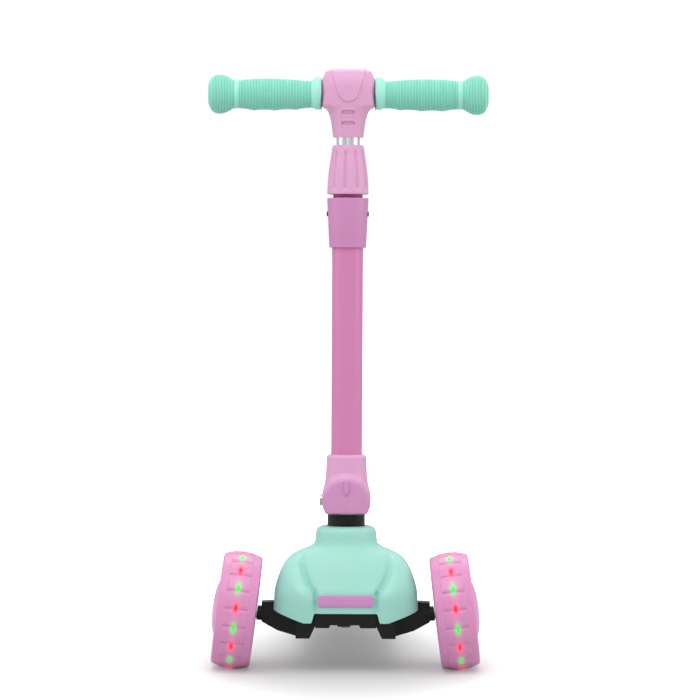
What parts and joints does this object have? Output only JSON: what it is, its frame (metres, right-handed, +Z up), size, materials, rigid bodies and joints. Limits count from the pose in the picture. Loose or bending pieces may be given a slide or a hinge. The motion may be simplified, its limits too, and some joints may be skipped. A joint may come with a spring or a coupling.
{
  "type": "three-wheeled kick scooter",
  "caption": "Small child's kick scooter: cambered front wheels that lean to steer, a low deck, a rear wheel with foot brake, a folding stem and a height-adjustable T-bar.",
  "frame": {"origin": "on the floor under the middle of the scooter's box", "axes": "+Z up; the front wheels are towards -Y; the rider's left is +X, and left and right in the node names are as seen from in front, so left is -X; symmetric left to right about X = 0 but for the hinge bolt and nut"},
  "size_m": [0.288, 0.56, 0.6152],
  "materials": {
    "black_nylon": "satin",
    "grip_mat": "matt",
    "mint_cover": "satin",
    "badge": "gloss",
    "steel": "satin",
    "bush": "matt",
    "tyre": "translucent polyurethane, satin",
    "core": "gloss",
    "hub_cap": "gloss",
    "red_light": "lit",
    "green_light": "lit",
    "bearing": "polished",
    "spacer": "satin",
    "tube_pink": "gloss paint",
    "light_pink": "satin",
    "sleeve_pink": "satin",
    "magenta": "satin",
    "black_steel": "black oxide",
    "silver": "bright anodised",
    "grip": "matt",
    "ring": "matt"
  },
  "bodies": {
    "deck": {"deck_frame": "black_nylon", "grip_mat": "grip_mat", "nose_frame": "black_nylon", "frame_bolts": "steel", "nose_cover": "mint_cover", "badge": "badge", "neck_post": "black_nylon", "knuckle": "steel", "king_bolt": "steel", "king_nut": "steel", "king_bushes": "bush", "rear_axle": "steel", "rear_axle_nut": "steel", "brake_pin": "steel"},
    "truck": {"truck_beam": "black_nylon", "axle_shafts": "steel", "axle_nuts": "steel"},
    "front_wheel_left": {"tyre_left": "tyre", "core_left": "core", "hub_cap_left": "hub_cap", "red_lights_left": "red_light", "green_lights_left": "green_light", "bearings_left": "bearing", "spacer_left": "spacer"},
    "front_wheel_right": {"tyre_right": "tyre", "core_right": "core", "hub_cap_right": "hub_cap", "red_lights_right": "red_light", "green_lights_right": "green_light", "bearings_right": "bearing", "spacer_right": "spacer"},
    "rear_wheel": {"rear_tyre": "tyre", "rear_core": "core", "rear_bearings": "bearing", "rear_spacer": "spacer"},
    "brake": {"brake_fender": "black_nylon"},
    "stem": {"stem_tube": "tube_pink", "fold_fork": "steel", "fold_housing": "light_pink", "upper_sleeve": "sleeve_pink", "sleeve_screws": "black_steel", "clamp_ring": "magenta", "hinge_bolt": "steel", "hinge_nut": "steel", "lever_pin": "steel"},
    "release_pad": {"release_pad": "light_pink"},
    "lock_lever": {"lock_lever": "steel"},
    "twist_collar": {"twist_collar": "light_pink"},
    "handlebar": {"inner_tube": "silver", "bar_tube": "silver", "cap_front": "light_pink", "cap_rear": "light_pink", "grip_left": "grip", "grip_right": "grip", "bar_rings": "ring", "cap_screws": "steel"}
  },
  "joints": [
    {"name": "lean_steer", "type": "hinge", "parent": "deck", "child": "truck", "pos_m": [0, -0.22, 0.062], "axis": [0, -0.5, 0.866], "range_deg": [-12, 12], "stiffness_Nm_per_rad": 20},
    {"name": "front_wheel_left_spin", "type": "hinge", "parent": "truck", "child": "front_wheel_left", "pos_m": [-0.112, -0.22, 0.06], "axis": [0.9925, 0, -0.1219], "continuous": true},
    {"name": "front_wheel_right_spin", "type": "hinge", "parent": "truck", "child": "front_wheel_right", "pos_m": [0.112, -0.22, 0.06], "axis": [0.9925, 0, 0.1219], "continuous": true},
    {"name": "rear_wheel_spin", "type": "hinge", "parent": "deck", "child": "rear_wheel", "pos_m": [0, 0.225, 0.04], "axis": [1, 0, 0], "continuous": true},
    {"name": "brake_press", "type": "hinge", "parent": "deck", "child": "brake", "pos_m": [0, 0.173, 0.064], "axis": [-1, 0, 0], "range_deg": [0, 5], "stiffness_Nm_per_rad": 2, "springref_deg": -5.73},
    {"name": "stem_fold", "type": "hinge", "parent": "deck", "child": "stem", "pos_m": [0, -0.208, 0.173], "axis": [-1, 0, 0], "range_deg": [0, 84]},
    {"name": "pad_slide", "type": "slide", "parent": "stem", "child": "release_pad", "axis": [0, -0.0523, -0.9986], "range_m": [0, 0.003], "stiffness_N_per_m": 800, "springref_m": -0.001},
    {"name": "lever_rock", "type": "hinge", "parent": "stem", "child": "lock_lever", "pos_m": [0, -0.21594, 0.19344], "axis": [1, 0, 0], "range_deg": [0, 22]},
    {"name": "collar_twist", "type": "hinge", "parent": "stem", "child": "twist_collar", "pos_m": [0, -0.19156, 0.48677], "axis": [0, 0.0523, 0.9986], "range_deg": [0, 90]},
    {"name": "bar_height", "type": "slide", "parent": "stem", "child": "handlebar", "axis": [0, 0.0523, 0.9986], "range_m": [0, 0.12]}
  ],
  "couplings": [
    {"joint": "lever_rock", "follows": "pad_slide", "rad_per_m": 125}
  ]
}
